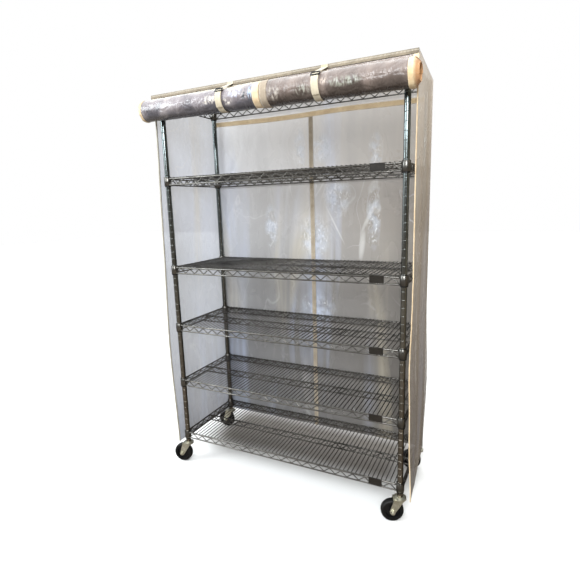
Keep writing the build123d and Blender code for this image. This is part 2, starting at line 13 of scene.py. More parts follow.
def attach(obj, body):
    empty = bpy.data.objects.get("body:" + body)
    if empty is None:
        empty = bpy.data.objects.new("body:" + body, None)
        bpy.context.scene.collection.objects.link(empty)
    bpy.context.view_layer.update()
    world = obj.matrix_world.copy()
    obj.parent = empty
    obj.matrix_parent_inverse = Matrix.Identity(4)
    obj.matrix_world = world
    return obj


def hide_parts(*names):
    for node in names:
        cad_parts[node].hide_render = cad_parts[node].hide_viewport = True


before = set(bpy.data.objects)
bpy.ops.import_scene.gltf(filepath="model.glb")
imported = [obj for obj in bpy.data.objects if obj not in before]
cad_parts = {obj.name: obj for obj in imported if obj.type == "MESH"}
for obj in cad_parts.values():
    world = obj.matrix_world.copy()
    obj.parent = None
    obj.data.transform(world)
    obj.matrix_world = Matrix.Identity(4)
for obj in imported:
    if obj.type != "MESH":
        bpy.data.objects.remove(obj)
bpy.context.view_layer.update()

# ---- dimensions shared with the CAD, in metres ----
MM = 0.001
POST_X = 437 * MM
POST_Y = 158 * MM
POST_RADIUS = 9.525 * MM
POST_BORE = 8.325 * MM
POST_Z = (88 * MM, 1431 * MM)
GROOVE_STEP = 25.4 * MM
GROOVE_DEPTH = 0.6 * MM
GROOVE_HALF_WIDTH = 1.0 * MM
LOWEST_SLEEVE = 101 * MM
GROOVE_OFFSET = 12.7 * MM
SHELF_STEPS = {
    "shelf_1_top": 51,
    "shelf_2": 40,
    "shelf_3": 27,
    "shelf_4": 18,
    "shelf_5": 9,
    "shelf_6_bottom": 0,
}
SLEEVE_GROUPS = {
    "upper": ("shelf_1_top", "shelf_2"),
    "middle": ("shelf_3", "shelf_4"),
    "lower": ("shelf_5", "shelf_6_bottom"),
}
POSTS = {
    "front_left": (-POST_X, -POST_Y),
    "front_right": (POST_X, -POST_Y),
    "back_left": (-POST_X, POST_Y),
    "back_right": (POST_X, POST_Y),
}
FRAME_X = 442 * MM
FRAME_Y = 163 * MM
COLLAR_RADIUS = 13 * MM
COLLAR_Z = (4 * MM, 35 * MM)
SLEEVE_RADIUS = (11.7 * MM, 10.85 * MM)
SLEEVE_TOP = 36.5 * MM
PLAY = 0.05 * MM
SLEEVE_TURNS = (radians(1), radians(181))
SLEEVE_SWEEP = radians(178)
UPPER_WIRE = (3.0 * MM, 28.5 * MM)  # radius, height above the sleeve's foot
LOWER_WIRE = (2.5 * MM, 6.5 * MM)
TRUSS_RADIUS = 1.8 * MM
TRUSS_INSET = 0.5 * MM  # a zigzag stops this far inside the ends of its wires
TRUSS_ROUNDING = 0.16  # share of a zigzag's leg that its rounded corner takes
LONG_BENDS = 40
SHORT_BENDS = 14
TRUSS_Z = (8.6 * MM, 26.0 * MM)
DECK_WIRE = (1.6 * MM, 32.6 * MM)
DECK_PITCH = 14.7 * MM
DECK_COUNT = 58
DECK_LENGTH = 329 * MM
DECK_END = 2 * MM
DECK_DROOP = 0.5 * MM
WELD_REACH = 11.8 * MM
LABEL_X = (333 * MM, 378 * MM)
LABEL_Z = (9.5 * MM, 32.6 * MM)
LABEL_FACE_Y = -168.4 * MM

COVER_FRONT = (468 * MM, -170 * MM)  # half width, depth
COVER_BACK = (452 * MM, 175 * MM)
HEM_Z = 86.5 * MM
ROOF_Z = 1435.8 * MM
ROOF_SAG = 1.4 * MM
ROOF_TAPE_Z = (1424 * MM, 1436.4 * MM)
BACK_BAND_Z = (1371 * MM, 1389 * MM)
BACK_SEAM_HALF_WIDTH = 9 * MM
BACK_TAPE_GAP = 1.6 * MM  # from the back sheet to the middle of its tapes

ROLL_Y = -217 * MM
ROLL_Z = 1370 * MM
ROLL_SLOPE = -0.009  # the rolled front hangs a little lower at its right end
ROLLS = {
    "left": {
        "x": (-451 * MM, -5 * MM), "radius": 35 * MM, "core": 18 * MM, "turns": 8,
        "strap": -127.5 * MM,
    },
    "right": {
        "x": (43 * MM, 455 * MM), "radius": 38 * MM, "core": 22 * MM, "turns": 7,
        "strap": 199.5 * MM,
    },
}
FLAP_TOP_Z = 1422 * MM
LAP = 1 * MM  # how far an edge tape laps over the sheet
STRAP_WIDTH = 22 * MM
STRAP_THICKNESS = 1.4 * MM
STRAP_SLACK = 0.6 * MM
STRAP_TOP_Z = 1420 * MM
STRAP_ROOF_POINT = (-177.6 * MM, 1428 * MM)
STRAP_TAIL = (radians(150), radians(72))
BUCKLE_ANGLE = radians(138)
BUCKLE_HALF = (14 * MM, 7.5 * MM)
BUCKLE_WINDOW = (11.2 * MM, 4 * MM)
BUCKLE_THICKNESS = 2.2 * MM
TAPE_THICKNESS = 0.9 * MM

# ---- how finely the meshes are cut ----
TUBE_SEGMENTS = 40
HALF_SLEEVE_SEGMENTS = 22
FRAME_SIDES = 14
TRUSS_SIDES = 9
DECK_SIDES = 10
SHEET_STEP = 5 * MM
TURN_STEPS = 56  # in one turn of a roll
FLAP_STEPS = 8
BAND_STEPS = 180
SEAM_STEPS = 240
SIDE_TAPE_STEPS = 260
ROOF_TAPE_STEPS = 200
DROP_STEPS = 10  # of a strap: behind the roll, round it, on to the roof tape, and its tail
STRAP_STEPS = 96
RISE_STEPS = 8
TAIL_STEPS = 32
ROUND_METAL = 50.0  # edges that turn less than this many degrees look round
ROUND_PLASTIC = 40.0
ROUND_PLATE = 30.0
ROUND_TAPE = 60.0
ROUND_SHEET = 80.0


# ---- mesh building ----
WIRE_END = ((0.0, 0.55), (0.25, 0.9), (0.7, 1.0))  # shares of the radius: from the end, across


class Net:
    """Vertices, faces and flat coordinates of one mesh while it is put together."""

    def __init__(self):
        self.verts = []
        self.faces = []
        self.flat = []

    def rows(self, rows, flat=None, round_rows=False, round_all=False, caps=False):
        """Joins rows of equally many points. round_rows closes each row, round_all the last
        row to the first, and caps fills the first and the last row."""
        base = len(self.verts)
        count = len(rows[0])
        for i, row in enumerate(rows):
            self.verts += row
            self.flat += flat[i] if flat else [(0.0, 0.0)] * count
        across = count if round_rows else count - 1
        along = len(rows) if round_all else len(rows) - 1
        for i in range(along):
            here = base + i * count
            there = base + (i + 1) % len(rows) * count
            for j in range(across):
                k = (j + 1) % count
                self.faces.append((here + j, here + k, there + k, there + j))
        if caps:
            last = base + (len(rows) - 1) * count
            self.faces.append(tuple(base + j for j in reversed(range(count))))
            self.faces.append(tuple(last + j for j in range(count)))

    def turned(self, profile, centre, segments, start=0.0, angle=2 * pi):
        """A closed profile of (radius, height) turned about the upright axis at centre."""
        full = angle >= 2 * pi
        steps = segments if full else segments + 1
        rows = []
        for i in range(steps):
            turn = start + angle * i / segments
            c, s = cos(turn), sin(turn)
            rows.append([(centre[0] + r * c, centre[1] + r * s, centre[2] + z) for r, z in profile])
        self.rows(rows, round_rows=True, round_all=full, caps=not full)

    def wire(self, path, radius, sides, across):
        """Round wire with softened ends along a path in the plane that across points out of."""
        path = [Vector(p) for p in path]
        rows = []
        last = len(path) - 1
        for i, point in enumerate(path):
            tangent = (path[min(i + 1, last)] - path[max(i - 1, 0)]).normalized()
            side = Vector(across)
            up = side.cross(tangent)
            rings = [(0.0, 1.0)]
            if i == 0:
                rings = WIRE_END
            elif i == last:
                rings = [(-shift, scale) for shift, scale in reversed(WIRE_END)]
            for shift, scale in rings:
                middle = point + tangent * (shift * radius)
                ring = []
                for k in range(sides):
                    a = 2 * pi * k / sides
                    ring.append(tuple(middle + (side * cos(a) + up * sin(a)) * (radius * scale)))
                rows.append(ring)
        self.rows(rows, round_rows=True, caps=True)

    def build(self, name, material, sharp, outward=True):
        mesh = bpy.data.meshes.new(name)
        mesh.from_pydata(self.verts, [], self.faces)
        if outward:
            work = bmesh.new()
            work.from_mesh(mesh)
            bmesh.ops.recalc_face_normals(work, faces=work.faces)
            work.to_mesh(mesh)
            work.free()
        layer = mesh.uv_layers.new(name="flat")
        for loop in mesh.loops:
            layer.data[loop.index].uv = self.flat[loop.vertex_index]
        mesh.polygons.foreach_set("use_smooth", [True] * len(mesh.polygons))
        mesh.set_sharp_from_angle(angle=radians(sharp))
        mesh.materials.append(material)
        return place(name, mesh)


def place(name, data, location=(0.0, 0.0, 0.0)):
    piece = bpy.data.objects.new(name, data)
    piece.location = location
    bpy.context.scene.collection.objects.link(piece)
    return piece


def settle(piece, node):
    """The piece rides on the rack and stands for this CAD node."""
    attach(piece, "rack")
    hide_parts(node)


def build_copies(net, material, pieces):
    """Pieces that share one mesh. Each is given by its name, place and CAD node."""
    first = None
    for name, where, node in pieces:
        if first is None:
            piece = first = net.build(name, material, ROUND_METAL)
            piece.location = where
        else:
            piece = place(name, first.data, where)
        settle(piece, node)


def ring_height(shelf):
    return LOWEST_SLEEVE + SHELF_STEPS[shelf] * GROOVE_STEP


def smooth(low, high, value):
    """0 below low, 1 above high and an even curve between."""
    t = min(max((value - low) / (high - low), 0.0), 1.0)
    return t * t * (3 - 2 * t)


def evenly(low, high, count):
    """count + 1 values from low to high."""
    return [low + (high - low) * i / count for i in range(count + 1)]


def drift(*where):
    """Smooth noise between -1 and 1."""
    return noise.noise(Vector(where))


def bump_at(value, centre, width):
    """1 at the centre, falling off to both sides."""
    return exp(-(((value - centre) / width) ** 2))


# ---- materials ----
DIM_FLOOR = (0.20, 0.17, 0.14, 1.0)
PAINTED_SHADOW = (0.15, 0.135, 0.12, 1.0)
SHADE_MIDDLE = (-0.04, 0.17)
SHADE_HALF = (0.35, 0.08)  # the floor is fully shaded this far from the middle
SHADE_FADE = 0.19  # and this much farther out it isn't shaded
STITCH_PITCH = 0.0036
STITCH_PLACE = 0.36  # from a tape's middle, as a share of its width


def tone(red, green, blue):
    """Scene-linear colour of display values from 0 to 255."""
    def linear(v):
        v /= 255
        return v / 12.92 if v <= 0.04045 else ((v + 0.055) / 1.055) ** 2.4
    return (linear(red), linear(green), linear(blue), 1.0)


class Nodes:
    """A node tree with short ways to add nodes."""

    def __init__(self, tree):
        self.tree = tree

    def put(self, node, inputs):
        for key, value in inputs.items():
            socket = node.inputs[key.replace("_", " ") if isinstance(key, str) else key]
            if isinstance(value, bpy.types.NodeSocket):
                self.tree.links.new(value, socket)
            else:
                socket.default_value = value

    def add(self, kind, inputs, **settings):
        node = self.tree.nodes.new("ShaderNode" + kind)
        for key, value in settings.items():
            setattr(node, key, value)
        self.put(node, inputs)
        return node

    def place(self, scale=(1, 1, 1), turn=(0, 0, 0)):
        source = self.add("TexCoord", {}).outputs["Object"]
        return self.add("Mapping", {"Vector": source, "Scale": scale, "Rotation": turn}).outputs[0]

    def axes(self, kind="Object"):
        source = self.add("TexCoord", {}).outputs[kind]
        return self.add("SeparateXYZ", {0: source}).outputs

    def grain(self, where, scale, detail=3.0, rough=0.55, warp=0.0):
        inputs = {"Vector": where, "Scale": scale, "Detail": detail, "Roughness": rough}
        inputs["Distortion"] = warp
        return self.add("TexNoise", inputs).outputs[0]

    def ramp(self, value, low, high, low_out=0.0, high_out=1.0):
        inputs = {0: value, 1: low, 2: high, 3: low_out, 4: high_out}
        return self.add("MapRange", inputs).outputs[0]

    def calc(self, operation, a, b=0.0):
        return self.add("Math", {0: a, 1: b}, operation=operation).outputs[0]

    def plus(self, a, b):
        return self.calc("ADD", a, b)

    def minus(self, a, b):
        return self.calc("SUBTRACT", a, b)

    def times(self, a, b):
        return self.calc("MULTIPLY", a, b)

    def apart(self, a, b):
        return self.calc("ABSOLUTE", self.minus(a, b))

    def mix(self, share, a, b):
        return self.add("Mix", {0: share, 6: a, 7: b}, data_type="RGBA").outputs[2]

    def bump(self, height, strength, distance):
        inputs = {"Height": height, "Strength": strength, "Distance": distance}
        return self.add("Bump", inputs).outputs[0]


class Finish(Nodes):
    """A Principled material."""

    def __init__(self, name, **inputs):
        self.material = bpy.data.materials.new(name)
        self.material.use_nodes = True
        super().__init__(self.material.node_tree)
        self.set(**inputs)

    def set(self, **inputs):
        self.put(self.tree.nodes["Principled BSDF"], inputs)


def make_chrome(name, bright, foot, dark, roughness, tarnish):
    """Plated steel: fine draw marks along its length, cloudy dull patches. It goes from the
    colour of its foot to the bright one with height: painted shade low down, painted light higher up."""
    f = Finish(name, Metallic=1.0)
    clouds = f.grain(f.place(), 9.0, 4.0, 0.6, 0.4)
    marks = f.grain(f.place((900, 900, 22)), 1.0, 2.0)
    dull = f.ramp(clouds, 0.42, 0.7, 0.0, tarnish)
    # painted light and shade: darker at the foot, brighter higher up
    plate = f.mix(f.ramp(f.axes()[2], 0.3, 1.2), foot, bright)
    polish = f.ramp(marks, 0.3, 0.7, roughness * 0.6, roughness * 1.4)
    f.set(
        Base_Color=f.mix(dull, plate, dark),
        Roughness=f.plus(polish, f.times(dull, 0.25)),
        Normal=f.bump(marks, 0.05, 0.0002),
    )
    return f.material


def make_zinc():
    """Zinc plate with a faint yellow passivation, blotched and slightly stained."""
    f = Finish("zinc_steel", Metallic=0.95)
    blotch = f.grain(f.place(), 45.0, 5.0, 0.65, 0.8)
    stain = f.grain(f.place(), 120.0, 3.0, 0.6)
    base = f.mix(f.ramp(blotch, 0.35, 0.65), tone(222, 222, 210), tone(176, 172, 152))
    f.set(
        Base_Color=f.mix(f.ramp(stain, 0.55, 0.8, 0.0, 0.5), base, tone(84, 76, 60)),
        Roughness=f.ramp(blotch, 0.3, 0.7, 0.28, 0.5),
        Normal=f.bump(stain, 0.12, 0.0003),
    )
    return f.material


def make_plastic(name, colour, worn, roughness, grain_scale=900.0):
    """Moulded plastic or rubber with a fine grain, scuffed lighter in patches."""
    f = Finish(name, Specular_IOR_Level=0.3)
    grain = f.grain(f.place(), grain_scale, 2.0)
    scuffs = f.grain(f.place((1, 1, 3)), 60.0, 6.0, 0.7, 1.2)
    f.set(
        Base_Color=f.mix(f.ramp(scuffs, 0.52, 0.75, 0.0, 0.7), colour, worn),
        Roughness=f.ramp(scuffs, 0.35, 0.7, roughness * 0.8, roughness * 1.25),
        Normal=f.bump(grain, 0.15, 0.0002),
    )
    return f.material


def make_tape(name, colour, shade, pitch=0.0011, inner=None):
    """Woven tape with a stitched line near each edge. Its flat coordinates run across (0 to 1)
    and along (metres). inner is the colour of the inner turns of a rolled tape."""
    f = Finish(name, Roughness=0.8, Sheen_Weight=0.35, Specular_IOR_Level=0.25)
    across, along = f.axes("UV")[0:2]
    ribs = f.calc("SINE", f.times(along, 2 * pi / pitch))
    threads = f.calc("SINE", f.times(across, 90.0))
    weave = f.times(ribs, threads)
    soil = f.grain(f.place(), 22.0, 5.0, 0.65, 0.5)
    fuzz = f.grain(f.place(), 1500.0, 2.0)
    # the shade colour is dirt in the soil patches and painted shade in the weave's hollows and stitch
    # gaps
    colour_mix = f.mix(f.ramp(soil, 0.4, 0.72, 0.0, 0.75), colour, shade)
    colour_mix = f.mix(f.ramp(weave, -1.0, 1.0, 0.22, 0.0), colour_mix, shade)
    if inner:
        colour_mix = f.mix(f.ramp(along, 0.22, 0.8, 0.0, 0.9), colour_mix, inner)
    line = f.ramp(f.apart(f.apart(across, 0.5), STITCH_PLACE), 0.02, 0.045, 1.0, 0.0)
    dash = f.ramp(f.calc("SINE", f.times(along, 2 * pi / STITCH_PITCH)), -0.3, 0.1)
    stitch = f.times(line, dash)
    gaps = f.minus(line, stitch)
    colour_mix = f.mix(f.times(stitch, 0.4), colour_mix, tone(247, 240, 222))
    # painted shade in the gaps along the stitched line
    colour_mix = f.mix(f.times(gaps, 0.35), colour_mix, shade)
    height = f.plus(weave, f.times(fuzz, 0.8))
    height = f.plus(height, f.times(stitch, 2.5))
    f.set(Base_Color=colour_mix, Normal=f.bump(height, 0.35, 0.0003))
    return f.material


def spot(f, across, upward, middle, half):
    """1 inside an elliptic spot, falling to 0 at its edge."""
    parts = []
    for value, centre, reach in ((across, middle[0], half[0]), (upward, middle[1], half[1])):
        parts.append(f.calc("POWER", f.calc("DIVIDE", f.minus(value, centre), reach), 2.0))
    return f.ramp(f.plus(*parts), 0.1, 1.0, 1.0, 0.0)


def make_vinyl(name, along, corners, opacity, crumples=(), creases=(), folds=8.0,
               bend=1.0, painted_streaks=0.5, gloss=0.5):
    """Hazy clear sheet. corners are its colours at the low and high end of the along axis:
    (bottom low, bottom high, top low, top high); they hold its tint together with painted light
    and shade, brighter towards the top and darker towards the bottom. opacity is that of its
    bottom and its top, and a larger bend keeps the colours of the bottom up to a greater height.
    folds is how closely its upright streaks follow each other, and painted_streaks is how strong
    their painted highlights are. crumples are crushed spots, bumped and glossy with painted
    highlights and painted shade, as (along, height, half width, half height), and creases are
    slanting lines painted as highlights, as (along, height, lean, half width, half height)."""
    f = Finish(name, IOR=1.5, Specular_IOR_Level=gloss, Coat_Weight=gloss * 0.4, Coat_Roughness=0.1)
    axis, low, high = along
    places = f.axes()
    side_place, z = places[axis], places["Z"]
    side = f.ramp(side_place, low, high)
    rise = f.calc("POWER", f.ramp(z, 0.09, 1.40), bend)
    # tint with painted light and shade: brighter towards the top, darker towards the bottom
    colour = f.mix(rise, f.mix(side, corners[0], corners[1]), f.mix(side, corners[2], corners[3]))
    bands = f.grain(f.place((folds, folds, 0.8)), 1.0, 3.0, 0.55, 0.7)
    hue = f.grain(f.place((5, 5, 1.1)), 1.0, 2.0, 0.5, 0.5)
    # painted highlights in upright streaks along the folds
    lit = f.mix(f.ramp(hue, 0.42, 0.58), tone(228, 218, 194), tone(206, 217, 244))
    colour = f.mix(f.ramp(bands, 0.5, 0.72, 0.0, painted_streaks), colour, lit)
    # painted shade in the folds between the streaks
    colour = f.mix(f.ramp(bands, 0.47, 0.25, 0.0, 0.3), colour, tone(110, 106, 106))
    # painted highlights along fine creases
    ridges = f.grain(f.place((1, 1, 0.7)), 5.0, 2.0, 0.5, 0.9)
    crease = f.ramp(f.apart(ridges, 0.5), 0.0, 0.012, 1.0, 0.0)
    crease = f.times(crease, f.ramp(f.grain(f.place(), 3.0, 2.0), 0.45, 0.65))
    colour = f.mix(f.times(crease, 0.4), colour, tone(236, 236, 238))
    # painted highlights along the listed slanting creases
    for place_along, height, lean, half_width, half_height in creases:
        slant = f.plus(side_place, f.times(f.minus(z, height), lean))
        line = spot(f, slant, z, (place_along, height), (half_width, half_height))
        colour = f.mix(f.times(line, 0.38), colour, tone(230, 230, 228))
    waves = f.grain(f.place((folds / 8, folds / 8, 0.5)), 11.0, 4.0, 0.55, 1.2)
    relief = waves
    if crumples:
        crushed = 0.0
        for place_along, height, half_width, half_height in crumples:
            here = spot(f, side_place, z, (place_along, height), (half_width, half_height))
            crushed = f.calc("MAXIMUM", here, crushed)
        shreds = f.grain(f.place((1, 1, 0.45), turn=(0, radians(24), 0)), 70.0, 5.0, 0.68, 1.6)
        # painted sheen and painted glints in the crushed spots, painted shade in their hollows
        painted_sheen = f.times(f.ramp(f.grain(f.place(), 24.0, 2.0), 0.4, 0.6), crushed)
        colour = f.mix(f.times(painted_sheen, 0.5), colour, tone(206, 216, 234))
        glint = f.times(f.ramp(shreds, 0.55, 0.66), crushed)
        colour = f.mix(f.times(glint, 0.75), colour, tone(244, 247, 252))
        painted_dip_shade = f.times(f.ramp(shreds, 0.46, 0.38), crushed)
        colour = f.mix(f.times(painted_dip_shade, 0.35), colour, tone(118, 122, 128))
        relief = f.plus(waves, f.times(f.times(shreds, crushed), 0.6))
    f.set(
        Base_Color=colour,
        Roughness=f.ramp(waves, 0.3, 0.7, 0.18, 0.34),
        Alpha=f.plus(f.ramp(rise, 0.0, 1.0, *opacity), f.ramp(bands, 0.5, 0.8, 0.0, 0.06)),
        Normal=f.bump(relief, 0.5, 0.006),
    )
    return f.material


def make_roll_vinyl(side, base, light, dark, crest_highlight, patches):
    """Many rolled turns of vinyl: milky, glossy and crumpled, with a painted highlight along its
    crest and painted shade below.
    patches are crushed spots as (x, level, half width, half level, colour), whose colours are painted
    highlights, and painted shade where dark; the level runs from -1 at the bottom of the roll to 1 at
    its top."""
    inputs = {"IOR": 1.5, "Specular_IOR_Level": 0.6, "Coat_Weight": 0.5, "Coat_Roughness": 0.1}
    f = Finish(f"rolled_vinyl_{side}", **inputs)
    broad = f.grain(f.place((1, 0.45, 0.45)), 17.0, 3.0, 0.5, 0.8)
    fine = f.grain(f.place((1.4, 0.5, 0.5)), 60.0, 4.0, 0.6, 1.2)
    cells = {"Vector": f.place((0.7, 1, 1)), "Scale": 42.0}
    lines = f.add("TexVoronoi", cells, feature="DISTANCE_TO_EDGE").outputs[0]
    colour = f.mix(f.ramp(broad, 0.5, 0.68, 0.0, 0.45), base, light)
    colour = f.mix(f.ramp(broad, 0.46, 0.3, 0.0, 0.4), colour, dark)
    colour = f.mix(f.ramp(fine, 0.56, 0.72, 0.0, 0.4), colour, light)
    x, _, z = f.axes()
    over_axis = f.minus(f.minus(z, f.times(x, ROLL_SLOPE)), ROLL_Z)
    level = f.calc("DIVIDE", over_axis, ROLLS[side]["radius"])
    wavy = f.plus(level, f.ramp(broad, 0.3, 0.7, -0.35, 0.35))
    # painted shade on the underside of the roll
    colour = f.mix(f.ramp(wavy, 0.0, -0.7, 0.0, 0.85), colour, dark)
    # painted highlight along the crest of the roll
    colour = f.mix(f.ramp(wavy, 0.7, 1.05, 0.0, 0.8), colour, crest_highlight)
    # painted highlights on crushed spots, and painted shade on the dark one
    for middle, middle_level, half_width, half_level, painted_spot_tone in patches:
        crushed = spot(f, x, level, (middle, middle_level), (half_width, half_level))
        crushed = f.times(crushed, f.ramp(fine, 0.44, 0.56))
        colour = f.mix(f.times(crushed, 0.9), colour, painted_spot_tone)
    height = f.plus(f.times(broad, 2.0), fine)
    height = f.plus(height, f.times(f.ramp(lines, 0.0, 0.2), 0.35))
    f.set(
        Base_Color=colour,
        Roughness=f.ramp(fine, 0.3, 0.7, 0.14, 0.34),
        Normal=f.bump(height, 0.6, 0.004),
    )
    return f.material


def make_floor_material():
    """Pale paint with a painted shadow under the rack. What the rack mirrors and catches of it is a
    dim room's floor.
    """
    f = Finish("floor_paint", Roughness=0.55, Specular_IOR_Level=0.2)
    soft = f.grain(f.place(), 1.2, 3.0)
    speck = f.grain(f.place(), 300.0, 2.0)
    paint = f.mix(f.ramp(soft, 0.3, 0.7), tone(240, 240, 239), tone(243, 243, 243))
    seen = f.add("LightPath", {}).outputs["Is Camera Ray"]
    x, y, _ = f.axes()
    squares = []
    for value, middle, half in zip((x, y), SHADE_MIDDLE, SHADE_HALF):
        outside = f.calc("MAXIMUM", f.minus(f.apart(value, middle), half), 0.0)
        squares.append(f.calc("POWER", outside, 2.0))
    away = f.calc("SQRT", f.plus(*squares))
    fade = {0: away, 1: 0.0, 2: SHADE_FADE, 3: 1.0, 4: 0.0}
    shade = f.add("MapRange", fade, interpolation_type="SMOOTHSTEP").outputs[0]
    # painted shadow on the floor under the rack
    paint = f.mix(shade, paint, PAINTED_SHADOW)
    f.set(Base_Color=f.mix(seen, DIM_FLOOR, paint), Normal=f.bump(speck, 0.03, 0.0005))
    return f.material


WIRE_TONE = tone(112, 110, 106)
CHROME_POST = make_chrome(
    "chrome_post", tone(118, 127, 128), tone(124, 118, 109), tone(58, 52, 45), 0.15, 0.6
)
CHROME_WIRE = make_chrome("chrome_wire", WIRE_TONE, WIRE_TONE, tone(50, 48, 45), 0.24, 0.9)
ZINC = make_zinc()
BLACK_PLASTIC = make_plastic("black_plastic", tone(5, 5, 6), tone(22, 22, 23), 0.5)
LABEL_PLASTIC = make_plastic("label_plastic", tone(30, 27, 23), tone(58, 52, 46), 0.42)
WHEEL_PLASTIC = make_plastic("wheel_plastic", tone(14, 14, 15), tone(36, 34, 33), 0.5)
TYRE_RUBBER = make_plastic("tyre_rubber", tone(10, 10, 10), tone(40, 38, 36), 0.6, 500.0)
BUCKLE_PLASTIC = make_plastic("buckle_plastic", tone(12, 12, 13), tone(40, 40, 42), 0.3)
CREAM_TAPE = make_tape("cream_tape", tone(232, 212, 178), tone(190, 160, 118))
INNER_TAPE = make_tape("cream_tape_hazy", tone(176, 162, 144), tone(128, 112, 94))
ROLL_END_TAPE = make_tape(
    "cream_tape_rolled", tone(244, 228, 192), tone(204, 168, 118), inner=tone(196, 142, 92)
)
PALE_TAPE = make_tape("cream_tape_pale", tone(214, 211, 200), tone(176, 170, 154))
ROOF_TAPE = make_tape("tan_tape_roof", tone(148, 136, 118), tone(84, 76, 64))
TAN_TAPE = make_tape("tan_tape", tone(244, 222, 186), tone(200, 172, 130))
SEAM_TAPE = make_tape("tan_tape_seam", tone(186, 174, 156), tone(140, 126, 106))
WEBBING = make_tape("strap_webbing", tone(214, 205, 184), tone(176, 162, 134), 0.0016)
# crushed spots of the back sheet: bumped, with painted highlights and painted shade
BACK_CRUMPLES = (
    (0.045, 1.25, 0.05, 0.06),
    (0.008, 0.91, 0.075, 0.10),
    (0.105, 1.07, 0.06, 0.09),
    (-0.19, 0.95, 0.035, 0.10),
    (0.25, 0.98, 0.03, 0.13),
    (0.255, 1.22, 0.03, 0.08),
    (-0.05, 1.25, 0.03, 0.09),
    (0.02, 0.62, 0.08, 0.08),
)
# slanting creases of the back sheet, painted as highlights
BACK_CREASE_HIGHLIGHTS = (
    (0.094, 0.959, 0.52, 0.005, 0.085),
    (0.234, 0.991, -0.50, 0.010, 0.075),
    (0.205, 0.880, -0.10, 0.014, 0.070),
    (-0.012, 0.880, 0.10, 0.022, 0.060),
)
# slanting creases of the right sheet, painted as highlights
RIGHT_CREASE_HIGHLIGHTS = (
    (-0.125, 1.16, 0.03, 0.010, 0.24),
    (0.010, 1.25, 0.12, 0.020, 0.15),
    (0.090, 0.85, -0.08, 0.022, 0.20),
    (-0.060, 0.55, 0.10, 0.016, 0.18),
)
# The sheets' corner colours are their tint together with painted light and shade.
BACK_VINYL = make_vinyl(
    "clear_vinyl_back",
    ("X", -0.45, 0.45),
    (tone(137, 138, 141), tone(112, 107, 101), tone(250, 251, 255), tone(180, 164, 142)),
    (0.99, 0.66),
    BACK_CRUMPLES,
    BACK_CREASE_HIGHLIGHTS,
    bend=3.0,
)
LEFT_VINYL = make_vinyl(
    "clear_vinyl_left",
    ("Y", -0.17, 0.17),
    (tone(146, 146, 154), tone(160, 161, 174), tone(214, 224, 246), tone(216, 229, 255)),
    (0.9, 0.5),
    painted_streaks=0.8,
)
RIGHT_VINYL = make_vinyl(
    "clear_vinyl_right",
    ("Y", -0.17, 0.17),
    (tone(78, 68, 59), tone(84, 75, 66), tone(250, 236, 214), tone(246, 230, 208)),
    (0.9, 0.8),
    creases=RIGHT_CREASE_HIGHLIGHTS,
    folds=4.0,
    bend=1.4,
    painted_streaks=0.25,
    gloss=0.25,
)
ROOF_VINYL = make_vinyl(
    "clear_vinyl_roof",
    ("X", -0.45, 0.45),
    (tone(190, 186, 182), tone(190, 178, 164), tone(196, 190, 184), tone(190, 176, 160)),
    (0.4, 0.4),
)
LEFT_ROLL_VINYL = make_roll_vinyl(
    "left",
    tone(136, 128, 132),
    tone(170, 164, 164),
    tone(62, 63, 72),
    tone(206, 198, 180),
    (
        (-0.165, 0.0, 0.030, 0.45, tone(236, 228, 216)),
        (-0.100, -0.35, 0.022, 0.30, tone(240, 234, 224)),
        (-0.068, 0.35, 0.030, 0.55, tone(206, 214, 240)),
        (-0.035, 0.10, 0.016, 0.70, tone(48, 58, 66)),
        (-0.014, 0.20, 0.010, 0.70, tone(176, 196, 220)),
    ),
)
RIGHT_ROLL_VINYL = make_roll_vinyl(
    "right",
    tone(122, 109, 103),
    tone(158, 143, 134),
    tone(58, 50, 46),
    tone(150, 137, 130),
    (
        (0.065, -0.2, 0.025, 0.60, tone(186, 178, 168)),
        (0.160, -0.3, 0.030, 0.40, tone(158, 156, 146)),
        (0.284, -0.1, 0.055, 0.40, tone(156, 158, 146)),
        (0.225, 0.1, 0.014, 0.30, tone(204, 186, 172)),
    ),
)


# ---- posts and their ends ----
GROOVE_SHAPE = (  # share of the half width, share of the depth
    (-1.5, 0.0), (-1.15, 0.0), (-0.9, 0.12), (-0.55, 0.8), (-0.3, 1.0),
    (0.3, 1.0), (0.55, 0.8), (0.9, 0.12), (1.15, 0.0), (1.5, 0.0),
)


def post_net():
    net = Net()
    profile = [(POST_BORE, POST_Z[0]), (POST_RADIUS, POST_Z[0])]
    z = LOWEST_SLEEVE + GROOVE_OFFSET
    while z < POST_Z[1]:
        for share, depth in GROOVE_SHAPE:
            profile.append((POST_RADIUS - depth * GROOVE_DEPTH, z + share * GROOVE_HALF_WIDTH))
        z += GROOVE_STEP
    profile += [(POST_RADIUS, POST_Z[1]), (POST_BORE, POST_Z[1])]
    net.turned(profile, (0, 0, 0), TUBE_SEGMENTS)
    return net


def build_posts():
    pieces = [(f"post_tube_{name}", (*xy, 0.0), f"post_{name}") for name, xy in POSTS.items()]
    build_copies(post_net(), CHROME_POST, pieces)


# ---- shelves ----
def bent_path(start, end, bends, z_low, z_high, rounding):
    """Zigzag between two points, its corners rounded off."""
    step = (end - start) / bends
    corners = []
    for i in range(bends + 1):
        corners.append(start + step * i + Vector((0, 0, z_high if i % 2 else z_low)))
    path = [corners[0]]
    for before, corner, after in zip(corners, corners[1:], corners[2:]):
        a = corner.lerp(before, rounding)
        b = corner.lerp(after, rounding)
        path += [a, a.lerp(b, 0.5).lerp(corner, 0.45), b]
    path.append(corners[-1])
    return path


